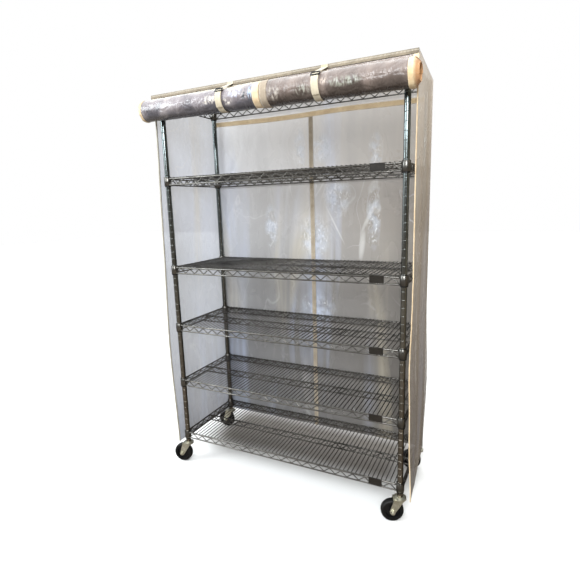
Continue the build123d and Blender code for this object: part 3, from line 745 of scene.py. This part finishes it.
def add_truss(net, start, end, bends, across):
    """Upper and lower frame wire and the bent wire welded between them."""
    start, end = Vector(start), Vector(end)
    for radius, z in (UPPER_WIRE, LOWER_WIRE):
        up = Vector((0, 0, z))
        net.wire([start + up, end + up], radius, FRAME_SIDES, across)
    inset = (end - start).normalized() * TRUSS_INSET
    path = bent_path(start + inset, end - inset, bends, *TRUSS_Z, TRUSS_ROUNDING)
    net.wire(path, TRUSS_RADIUS, TRUSS_SIDES, across)


def add_collar(net, centre):
    low, high = COLLAR_Z
    bore_low = SLEEVE_RADIUS[0] - PLAY
    bore_high = SLEEVE_RADIUS[1] + PLAY
    lip = 0.35 * MM
    profile = [
        (bore_low + lip, low), (COLLAR_RADIUS - lip, low), (COLLAR_RADIUS, low + lip),
        (COLLAR_RADIUS, high - lip), (COLLAR_RADIUS - lip, high), (bore_high + lip, high),
        (bore_high, high - lip), (bore_low, low + lip),
    ]
    net.turned(profile, centre, TUBE_SEGMENTS)


def shelf_net():
    net = Net()
    long_half = POST_X - WELD_REACH
    short_half = POST_Y - WELD_REACH
    for y in (-FRAME_Y, FRAME_Y):
        add_truss(net, (-long_half, y, 0), (long_half, y, 0), LONG_BENDS, (0, 1, 0))
    add_truss(net, (-FRAME_X, 0, 0), (FRAME_X, 0, 0), LONG_BENDS, (0, 1, 0))
    for x in (-FRAME_X, FRAME_X):
        add_truss(net, (x, -short_half, 0), (x, short_half, 0), SHORT_BENDS, (1, 0, 0))
    radius, z = DECK_WIRE
    half = DECK_LENGTH / 2
    for i in range(DECK_COUNT):
        x = (i - (DECK_COUNT - 1) / 2) * DECK_PITCH
        reach = half - DECK_END
        ends = ((-half, z - DECK_DROOP), (-reach, z), (0, z), (reach, z), (half, z - DECK_DROOP))
        net.wire([(x, *end) for end in ends], radius, DECK_SIDES, (1, 0, 0))
    for x, y in POSTS.values():
        add_collar(net, (x, y, 0))
    return net


def build_shelves():
    pieces = [(f"wire_{name}", (0.0, 0.0, ring_height(name)), name) for name in SHELF_STEPS]
    build_copies(shelf_net(), CHROME_WIRE, pieces)


def build_sleeves():
    """Split black sleeves, each half with softened ends."""
    inner = POST_RADIUS + PLAY
    low, high = SLEEVE_RADIUS
    soft = 0.4 * MM
    profile = [
        (inner, soft), (inner + soft, 0.0), (low - soft, 0.0), (low, soft),
        (high, SLEEVE_TOP - soft), (high - soft, SLEEVE_TOP), (inner, SLEEVE_TOP),
    ]
    for group, shelves in SLEEVE_GROUPS.items():
        net = Net()
        for name in shelves:
            for x, y in POSTS.values():
                centre = (x, y, ring_height(name))
                for turn in SLEEVE_TURNS:
                    net.turned(profile, centre, HALF_SLEEVE_SEGMENTS, turn, SLEEVE_SWEEP)
        piece = net.build(f"sleeves_{group}", BLACK_PLASTIC, ROUND_PLASTIC)
        settle(piece, f"split_sleeves_{group}")


def rounded_rectangle(half_x, half_z, radius):
    points = []
    steps = 4
    for corner, (sx, sz) in enumerate(((1, 1), (-1, 1), (-1, -1), (1, -1))):
        for i in range(steps + 1):
            a = pi / 2 * (corner + i / steps)
            x = sx * (half_x - radius) + radius * cos(a)
            points.append((x, sz * (half_z - radius) + radius * sin(a)))
    return points


LABEL_STEPS = ((0.0, 1.8), (0.0, 0.3), (0.3, 0.0), (1.5, 0.0), (1.9, 0.55))  # inset, depth
LABEL_LIP = ((0.6, -0.9), (0.6, -0.1), (3.0, 0.0), (3.2, -0.3), (3.0, -0.8), (1.6, -0.9))


def build_labels():
    """Blank holders: a plate with a raised rim round a sunk face, and a lip over the wire. Their
    outlines are in millimetres."""
    net = Net()
    half_x = (LABEL_X[1] - LABEL_X[0]) / 2
    half_z = (LABEL_Z[1] - LABEL_Z[0]) / 2
    middle_x = sum(LABEL_X) / 2
    for name in SHELF_STEPS:
        middle_z = ring_height(name) + sum(LABEL_Z) / 2
        rows = []
        for inset, depth in LABEL_STEPS:
            outline = rounded_rectangle(half_x - inset * MM, half_z - inset * MM, 1.0 * MM)
            rows.append([(middle_x + x, LABEL_FACE_Y + depth * MM, middle_z + z) for x, z in outline])
        net.rows(rows, round_rows=True, caps=True)
        top = middle_z + half_z
        rows = []
        for x in (LABEL_X[0] + 0.6 * MM, LABEL_X[1] - 0.6 * MM):
            rows.append([(x, LABEL_FACE_Y + y * MM, top + z * MM) for y, z in LABEL_LIP])
        net.rows(rows, round_rows=True, caps=True)
    settle(net.build("label_plates", LABEL_PLASTIC, ROUND_PLATE), "label_holders")


# ---- clear cover ----
def crumple(u, z, seed):
    """Sharp small creases in some patches of a sheet, from 0 to 1."""
    ridge = 1 - abs(drift(u * 16, seed, z * 16)) * 2.4
    patch = smooth(0.05, 0.45, drift(u * 3.1, seed + 5, z * 3.1))
    return max(ridge, 0.0) ** 2 * patch


HANG_WAVES = (  # height, closeness across, closeness upwards, seed
    (2.6 * MM, 7, 0.7, 0),  # upright folds
    (2.2 * MM, 2.6, 1.9, 3),  # slack
    (0.7 * MM, 19, 5, 8),  # fine waves
)
CRUMPLE_HEIGHT = 1.0 * MM


def hang(u, z, seed):
    """How far a hanging sheet stands out of its plane at this place."""
    out = 0.0
    for height, across, upwards, shift in HANG_WAVES:
        out += height * drift(u * across, seed + shift, z * upwards)
    return out + CRUMPLE_HEIGHT * crumple(u, z, seed)


def side_bulge(side, y, z):
    """How far the slack side sheets stand out from the straight line between their edges."""
    front = smooth(0.15, -0.17, y)
    if side < 0:
        return 15 * MM * front * bump_at(z, 0.48, 0.3) - 11 * MM * front * smooth(0.9, 1.4, z)
    lower_back = 9 * MM * smooth(-0.1, 0.17, y) * bump_at(z, 0.38, 0.2)
    hem = 7 * MM * front * smooth(0.3, 0.08, z)
    return lower_back + hem - 5 * MM * front * bump_at(z, 0.53, 0.12)


def cover_side_x(y):
    share = (y - COVER_FRONT[1]) / (COVER_BACK[1] - COVER_FRONT[1])
    return COVER_FRONT[0] + share * (COVER_BACK[0] - COVER_FRONT[0])


def side_x(side, y, z, inset=1.3 * MM):
    """Where the side sheet is at depth y and height z."""
    calm = 0.35 + 0.65 * bump_at(y, 0.0, 0.12)
    calm *= smooth(ROOF_Z, ROOF_Z - 0.12, z)
    wave = hang(y, z, 11.0 * side) * calm * 1.5
    return side * (cover_side_x(y) - inset + side_bulge(side, y, z) + wave)


def back_y(x, z):
    """Where the back sheet is at x and height z."""
    calm = smooth(ROOF_Z, ROOF_Z - 0.06, z)
    near_post = max(bump_at(x, -POST_X, 0.03), bump_at(x, POST_X, 0.03))
    return COVER_BACK[1] + 1.6 * MM + hang(x, z, 2.0) * calm * (1 - 0.6 * near_post) * 0.9


def sheet_grid(u_range, v_range, step, point):
    """Rows of points over a flat piece, with flat coordinates in metres."""
    us, vs = (evenly(low, high, max(int((high - low) / step), 2)) for low, high in (u_range, v_range))
    return [[point(u, v) for u in us] for v in vs], [[(u, v) for u in us] for v in vs]


def build_sheet(name, ranges, point, material, node):
    net = Net()
    net.rows(*sheet_grid(*ranges, SHEET_STEP, point))
    piece = net.build(name, material, ROUND_SHEET, outward=False)
    settle(piece, node)


def build_cover():
    heights = (HEM_Z, ROOF_Z)
    build_sheet(
        "vinyl_back",
        ((-COVER_BACK[0], COVER_BACK[0]), heights),
        lambda u, v: (u, back_y(u, v), v),
        BACK_VINYL,
        "cover_back",
    )
    for side, name, material in ((-1, "left", LEFT_VINYL), (1, "right", RIGHT_VINYL)):
        build_sheet(
            f"vinyl_{name}",
            ((COVER_FRONT[1], COVER_BACK[1]), heights),
            lambda u, v, side=side: (side_x(side, u, v), u, v),
            material,
            f"cover_{name}",
        )

    def roof_point(u, v):
        share = u / COVER_FRONT[0]
        x = share * cover_side_x(v)
        near_end = max(bump_at(v, COVER_BACK[1], 0.02), bump_at(v, COVER_FRONT[1], 0.02))
        free = 1 - max(abs(share) ** 6, near_end)
        return (x, v, ROOF_Z + (hang(x, v, 6.0) * 0.5 - ROOF_SAG) * free)

    build_sheet(
        "vinyl_roof",
        ((-COVER_FRONT[0], COVER_FRONT[0]), (COVER_FRONT[1] - 3 * MM, COVER_BACK[1] + 0.8 * MM)),
        roof_point,
        ROOF_VINYL,
        "cover_roof",
    )


def ribbon(net, centres, across, normals, half_width, thickness):
    """Flat tape with rounded edges along a row of centre points. across is the direction of
    its width, and normals are the directions its outer face looks in."""
    rows, flat = [], []
    travelled = 0.0
    half = thickness / 2
    side = Vector(across)
    upper = [(-0.97, 0.75), *((s, 1.0) for s in (-0.9, -0.5, 0.0, 0.5, 0.9)), (0.97, 0.75)]
    section = [(-1.0, 0.0), *upper, (1.0, 0.0), *((s, -t) for s, t in reversed(upper))]
    for i, centre in enumerate(centres):
        centre = Vector(centre)
        if i:
            travelled += (centre - Vector(centres[i - 1])).length
        out = Vector(normals[i])
        rows.append([tuple(centre + side * (s * half_width) + out * (t * half)) for s, t in section])
        flat.append([((s + 1) / 2, travelled) for s, t in section])
    net.rows(rows, flat, round_rows=True, caps=True)


def build_back_tape(name, material, points, across, half_width):
    """Tape on the inside of the back sheet along these (x, height) points."""
    centres = [(x, back_y(x, z) - BACK_TAPE_GAP, z) for x, z in points]
    net = Net()
    ribbon(net, centres, across, [(0, -1, 0)] * len(centres), half_width, TAPE_THICKNESS)
    settle(net.build(name, material, ROUND_TAPE), f"cover_{name}")


def build_back_tapes():
    """Tan band across the back sheet and seam tape down its middle."""
    low, high = BACK_BAND_Z
    reach = COVER_BACK[0] - 4 * MM
    points = []
    for x in evenly(-reach, reach, BAND_STEPS):
        wave = 2.2 * MM * sin(x * 11 + 0.6) - 3.0 * MM * bump_at(x, -0.02, 0.16)
        points.append((x, (low + high) / 2 + wave))
    build_back_tape("back_band", TAN_TAPE, points, (0, 0, 1), (high - low) / 2)
    heights = evenly(HEM_Z, low - 1.5 * MM, SEAM_STEPS)
    points = [(2.0 * MM * drift(3.3, 0.0, z * 3), z) for z in heights]
    build_back_tape("back_seam", SEAM_TAPE, points, (1, 0, 0), BACK_SEAM_HALF_WIDTH)


SIDE_TAPE_OUTLINE = (  # in millimetres: forwards, across
    (-3.5, -1.1), (-3.2, -1.5), (2.6, -1.6), (3.5, -1.0), (3.8, 0.0),
    (3.5, 1.0), (2.6, 1.6), (-3.2, 1.5), (-3.5, 1.1),
)


def build_side_bindings():
    """Cream tape folded round the front edge of each side sheet."""
    y = COVER_FRONT[1] - 3.4 * MM
    shares = evenly(0.0, 1.0, len(SIDE_TAPE_OUTLINE) - 1)
    for side, name in ((-1, "left"), (1, "right")):
        net = Net()
        rows, flat = [], []
        for z in evenly(HEM_Z, ROOF_TAPE_Z[0] - 1 * MM, SIDE_TAPE_STEPS):
            x = side_x(side, COVER_FRONT[1], z, 1.5 * MM)
            ruffle = 0.5 * MM * drift(side * 4.0, 1.0, z * 24)
            rows.append([(x + ruffle + t * MM, y - s * MM, z) for s, t in SIDE_TAPE_OUTLINE])
            flat.append([(share, z) for share in shares])
        net.rows(rows, flat, round_rows=True, caps=True)
        tape = PALE_TAPE if side < 0 else CREAM_TAPE
        piece = net.build(f"side_binding_{name}", tape, ROUND_TAPE)
        settle(piece, f"cover_{name}_front_binding")


def build_roof_binding():
    net = Net()
    rows, flat = [], []
    low, high = ROOF_TAPE_Z
    y = COVER_FRONT[1] - 4.5 * MM
    shoulder = high - 0.6 * MM
    outline = [(1.5, low), (1.5, shoulder), (0.9, high), (-0.9, high), (-1.5, shoulder), (-1.5, low)]
    shares = evenly(0.0, 1.0, len(outline) - 1)
    for x in evenly(-COVER_FRONT[0], COVER_FRONT[0], ROOF_TAPE_STEPS):
        wave = 0.8 * MM * drift(x * 9, 2.0, 0.0)
        rows.append([(x, y + t * MM + wave, z) for t, z in outline])
        flat.append([(share, x) for share in shares])
    net.rows(rows, flat, round_rows=True, caps=True)
    settle(net.build("roof_binding", ROOF_TAPE, ROUND_TAPE), "cover_roof_binding")


# ---- rolled-up front ----
def roll_centre_z(x):
    return ROLL_Z + ROLL_SLOPE * x


def roll_swell(x, angle):
    """Unevenness that all turns of the roll share, as a share of the radius."""
    lumps = drift(x * 14, cos(angle) * 1.2, sin(angle) * 1.2)
    sag = 0.018 * sin(x * 23 + 1.3) + 0.012 * lumps
    return 1 + sag - 0.02 * cos(2 * angle)


def roll_point(x, angle, radius, outer_share):
    """Point of a rolled turn; outer_share makes the outer turns crumpled."""
    ridge = drift(x * 30, cos(angle) * radius * 60, sin(angle) * radius * 60)
    crease = max(1 - abs(ridge) * 2.2, 0.0) ** 2
    outer_share *= 1 - 0.9 * max(bump_at(x, roll["strap"], 0.02) for roll in ROLLS.values())
    coarse = drift(x * 12, cos(angle) * 2, sin(angle) * 2 + 4)
    r = radius * roll_swell(x, angle) + outer_share * MM * (1.0 * crease + 1.4 * coarse)
    return (x, ROLL_Y + r * cos(angle), roll_centre_z(x) + r * sin(angle))


def pinch(x, roll):
    """The strap draws the roll in a little."""
    return 1 - 0.035 * bump_at(x, roll["strap"], 0.02)


def flap_point(x, z, roll, lift):
    """Point of the flap between the roof tape and the back of the roll."""
    share = (z - ROLL_Z) / (FLAP_TOP_Z - ROLL_Z)
    _, back, low = roll_point(x, 0.0, roll["radius"] * pinch(x, roll) + lift, 1.0)
    wave = 0.8 * MM * drift(x * 16, 9.0, z * 9)
    y = back + (COVER_FRONT[1] - 7.2 * MM - back) * share + wave
    return (x, y, low + (FLAP_TOP_Z - low) * share)


def turned_point(x, turn, roll, lift, spread):
    """Point of the roll this many turns in from its outside."""
    radius = roll["radius"] + (roll["core"] - roll["radius"]) * turn / roll["turns"]
    radius = radius * pinch(x, roll) + lift
    _, y, z = roll_point(x, -2 * pi * turn, radius, smooth(1.6, 0.2, turn))
    return (x + spread * turn, y, z)


def roll_rows(roll, x_range, columns, lift=0.0, spread=0.0):
    """Rows and flat coordinates of the flap and the turns of the roll, from the roof tape in,
    and their length. lift is out of the roll, and spread pushes inner turns out sideways."""
    xs = evenly(*x_range, columns)
    heights = evenly(FLAP_TOP_Z, ROLL_Z, FLAP_STEPS)[:-1]
    turns = evenly(0.0, roll["turns"], roll["turns"] * TURN_STEPS)
    rows = [[flap_point(x, z, roll, lift) for x in xs] for z in heights]
    rows += [[turned_point(x, turn, roll, lift, spread) for x in xs] for turn in turns]
    middle = [Vector(row[len(row) // 2]) for row in rows]
    travelled = 0.0
    flat = []
    for i in range(len(rows)):
        if i:
            travelled += (middle[i] - middle[i - 1]).length
        flat.append([((x - xs[0]) / (xs[-1] - xs[0]), travelled) for x in xs])
    return rows, flat, travelled


def build_roll(side, material):
    net = Net()
    roll = ROLLS[side]
    length = roll["x"][1] - roll["x"][0]
    rows, flat, travelled = roll_rows(roll, roll["x"], int(length / SHEET_STEP))
    net.rows(rows, flat)
    piece = net.build(f"rolled_front_{side}", material, ROUND_SHEET, outward=False)
    settle(piece, f"front_roll_{side}")


ROLL_TAPES = (  # side, node, end of the roll, width, lift, spread, material
    ("left", "left_outer", 0, 9 * MM, 0.5 * MM, 0.0, CREAM_TAPE),
    ("left", "left_inner", 1, 22 * MM, 1.2 * MM, 0.0, CREAM_TAPE),
    ("right", "right_inner", 0, 23 * MM, 0.3 * MM, 0.0, INNER_TAPE),
    ("right", "right_outer", 1, 14 * MM, 0.5 * MM, 2.0 * MM, ROLL_END_TAPE),
)
ROLL_TAPE_COLUMNS = 6


def build_roll_tapes():
    """Edge tapes rolled up together with the sheet."""
    for number, (side, name, end, width, lift, spread, material) in enumerate(ROLL_TAPES, 1):
        edge = ROLLS[side]["x"][end]
        x_range = (edge - LAP, edge + width) if end else (edge - width, edge + LAP)
        rows, flat, _ = roll_rows(ROLLS[side], x_range, ROLL_TAPE_COLUMNS, lift, spread)
        net = Net()
        net.rows(rows, flat)
        piece = net.build(f"roll_tape_{number}", material, ROUND_SHEET, outward=False)
        solid = piece.modifiers.new("thickness", "SOLIDIFY")
        solid.thickness = TAPE_THICKNESS
        solid.offset = 0.0
        settle(piece, f"front_roll_{name}_binding")


def strap_path(roll):
    """Centre points and outward directions of a strap: down behind the roll, round under it
    and up its front, and on to the front of the roof tape."""
    x = roll["strap"]
    reach = roll["radius"] + STRAP_SLACK + STRAP_THICKNESS / 2
    middle_z = roll_centre_z(x)
    centres, normals = [], []
    for z in evenly(STRAP_TOP_Z, middle_z, DROP_STEPS)[:-1]:
        centres.append((x, ROLL_Y + reach, z))
        normals.append((0, 1, 0))
    run, rise = STRAP_ROOF_POINT[0] - ROLL_Y, STRAP_ROOF_POINT[1] - ROLL_Z
    leave = atan2(rise, run) + acos(reach / hypot(rise, run))
    for angle in evenly(0.0, leave - 2 * pi, STRAP_STEPS):
        c, s = cos(angle), sin(angle)
        ripple = 0.25 * MM * drift(x * 50, angle * 3, 0.0)
        centres.append((x, ROLL_Y + (reach + ripple) * c, middle_z + (reach + ripple) * s))
        normals.append((0, c, s))
    start = Vector(centres[-1])
    end = Vector((x, STRAP_ROOF_POINT[0] + 0.3 * MM, STRAP_ROOF_POINT[1]))
    out = Vector((0, cos(leave), sin(leave)))
    for share in evenly(0.0, 1.0, RISE_STEPS)[1:-1]:
        centres.append(tuple(start.lerp(end, share)))
        normals.append(tuple(out))
    for share, turn in ((0.0, 0.4), (0.3, 0.8), (0.65, 1.0), (1.0, 1.0)):
        height = (ROOF_TAPE_Z[1] - 0.8 * MM - STRAP_ROOF_POINT[1]) * share
        centres.append((x, end[1], end[2] + height))
        normals.append(tuple(out.lerp(Vector((0, -1, 0)), turn).normalized()))
    return centres, normals


def tail_path(roll):
    """The strap's free end, folded back at the slide and hanging down over the front."""
    x = roll["strap"]
    middle_z = roll_centre_z(x)
    centres, normals = [], []
    start, sweep = STRAP_TAIL
    close = roll["radius"] + STRAP_SLACK + STRAP_THICKNESS * 1.6
    for share in evenly(0.0, 1.0, TAIL_STEPS):
        angle = start + sweep * share
        c, s = cos(angle), sin(angle)
        reach = close + 1.1 * MM * smooth(0.6, 1.0, share)
        centres.append((x + 0.4 * MM * share, ROLL_Y + reach * c, middle_z + reach * s))
        normals.append((0, c, s))
    return centres, normals


def add_slide(net, roll):
    """Frame of a slide, its outer and inner outlines joined over softened edges."""
    reach = roll["radius"] + STRAP_SLACK + STRAP_THICKNESS + 0.8 * MM
    out = Vector((0, cos(BUCKLE_ANGLE), sin(BUCKLE_ANGLE)))
    along = Vector((0, -sin(BUCKLE_ANGLE), cos(BUCKLE_ANGLE)))
    x = roll["strap"]
    centre = Vector((x, ROLL_Y, roll_centre_z(x))) + out * reach
    rows = []
    for half, corner, inset, height in (
        (BUCKLE_HALF, 2 * MM, 0.0, 0.0),
        (BUCKLE_HALF, 2 * MM, 0.0, 0.75),
        (BUCKLE_HALF, 2 * MM, -0.7 * MM, 1.0),
        (BUCKLE_WINDOW, 1 * MM, 0.6 * MM, 1.0),
        (BUCKLE_WINDOW, 1 * MM, 0.0, 0.75),
        (BUCKLE_WINDOW, 1 * MM, 0.0, 0.0),
    ):
        outline = rounded_rectangle(half[0] + inset, half[1] + inset, corner)
        level = out * (height * BUCKLE_THICKNESS)
        rows.append([tuple(centre + Vector((u, 0, 0)) + along * v + level) for u, v in outline])
    net.rows(rows, round_rows=True, round_all=True)


def build_straps():
    for side, roll in ROLLS.items():
        name = f"strap_{side}"
        net = Net()
        for path in (strap_path, tail_path):
            centres, normals = path(roll)
            ribbon(net, centres, (1, 0, 0), normals, STRAP_WIDTH / 2, STRAP_THICKNESS)
        settle(net.build(f"{name}_webbing", WEBBING, ROUND_METAL), name)
        net = Net()
        add_slide(net, roll)
        piece = net.build(f"{name}_slide", BUCKLE_PLASTIC, ROUND_PLASTIC)
        settle(piece, f"{name}_buckle")


# ---- CAD nodes that stay ----
def paint_kept_nodes():
    finishes = {
        "stem": ZINC, "fork": ZINC, "axle": ZINC, "axle_nut": ZINC,
        "wheel_hub": WHEEL_PLASTIC, "tyre": TYRE_RUBBER,
    }
    kept = {"post_caps": BLACK_PLASTIC, "post_stem_inserts": ZINC}
    for corner in POSTS:
        for piece, finish in finishes.items():
            kept[f"caster_{corner}_{piece}"] = finish
    for name, finish in kept.items():
        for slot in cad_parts[name].material_slots:
            slot.material = finish


# ---- floor, lights and camera ----
SKY_DIRECTION = (-0.55, 0.10, 0.83)
SKY_REACH = (0.0, 0.9)  # share of SKY_DIRECTION at which the light starts and is full
SKY_COLOUR = (0.97, 0.99, 1.0, 1.0)
ROOM_COLOUR = (0.07, 0.06, 0.05, 1.0)
WHITE = (1.0, 1.0, 1.0, 1.0)
SKY_STRENGTH = 2.1
LIGHTS = (  # name, place, target, size, power, colour
    ("key", (0.9, -3.1, 2.4), (-0.2, 0.0, 1.0), (1.6, 1.6), 135, (0.95, 0.98, 1.0)),
    ("warm", (2.6, -0.3, 2.5), (0.46, 0.0, 1.2), (0.8, 0.8), 13, (1.0, 0.9, 0.76)),
    ("side", (-2.5, -1.9, 2.2), (0.0, 0.0, 1.0), (1.0, 1.6), 55, (0.9, 0.97, 1.0)),
)
CAMERA_PLACE = (0.7064, -1.4622, 1.0370)
CAMERA_YAW = radians(-26.516)
CAMERA_PITCH = radians(10.937)  # looking down
CAMERA_ROLL = radians(-1.762)
LENS = 27.22
SENSOR_WIDTH = 36
FLOOR_REACH = 14.0


def build_stage():
    mesh = bpy.data.meshes.new("floor")
    signs = ((-1, -1), (1, -1), (1, 1), (-1, 1))
    corners = [(x * FLOOR_REACH, y * FLOOR_REACH, 0) for x, y in signs]
    mesh.from_pydata(corners, [], [(0, 1, 2, 3)])
    mesh.materials.append(make_floor_material())
    place("floor", mesh)


def build_world():
    """Soft light from above and the left, dim elsewhere; the camera itself sees white."""
    world = bpy.data.worlds.new("studio")
    bpy.context.scene.world = world
    world.use_nodes = True
    sky = Nodes(world.node_tree)
    direction = sky.add("TexCoord", {}).outputs["Generated"]
    facing = sky.add("VectorMath", {0: direction, 1: SKY_DIRECTION}, operation="DOT_PRODUCT")
    colour = sky.mix(sky.ramp(facing.outputs["Value"], *SKY_REACH), ROOM_COLOUR, SKY_COLOUR)
    light = sky.tree.nodes["Background"]
    sky.put(light, {0: colour, 1: SKY_STRENGTH})
    backdrop = sky.add("Background", {0: WHITE})
    seen = sky.add("LightPath", {}).outputs["Is Camera Ray"]
    chosen = sky.add("MixShader", {0: seen, 1: light.outputs[0], 2: backdrop.outputs[0]})
    sky.put(sky.tree.nodes["World Output"], {0: chosen.outputs[0]})


def build_lights():
    for name, source, target, size, power, colour in LIGHTS:
        data = bpy.data.lights.new(name, "AREA")
        data.shape = "RECTANGLE"
        data.size, data.size_y = size
        data.energy = power
        data.color = colour
        light = place(name, data, source)
        direction = Vector(target) - Vector(source)
        light.rotation_euler = direction.to_track_quat("-Z", "Y").to_euler()


def build_camera():
    data = bpy.data.cameras.new("camera")
    data.sensor_width = SENSOR_WIDTH
    data.lens = LENS
    yaw, pitch, roll = CAMERA_YAW, CAMERA_PITCH, CAMERA_ROLL
    forward = Vector((sin(yaw) * cos(pitch), cos(yaw) * cos(pitch), -sin(pitch)))
    level = Vector((cos(yaw), -sin(yaw), 0))
    upright = level.cross(forward)
    right = level * cos(roll) + upright * sin(roll)
    up = upright * cos(roll) - level * sin(roll)
    turn = Matrix((right, up, -forward)).transposed()
    camera = place("camera", data)
    camera.matrix_world = Matrix.Translation(CAMERA_PLACE) @ turn.to_4x4()
    bpy.context.scene.camera = camera


build_posts()
build_shelves()
build_sleeves()
build_labels()
build_cover()
build_back_tapes()
build_side_bindings()
build_roof_binding()
build_roll("left", LEFT_ROLL_VINYL)
build_roll("right", RIGHT_ROLL_VINYL)
build_roll_tapes()
build_straps()
paint_kept_nodes()
build_stage()
build_world()
build_lights()
build_camera()
bpy.context.scene.view_settings.view_transform = "Standard"

bpy.context.view_layer.update()
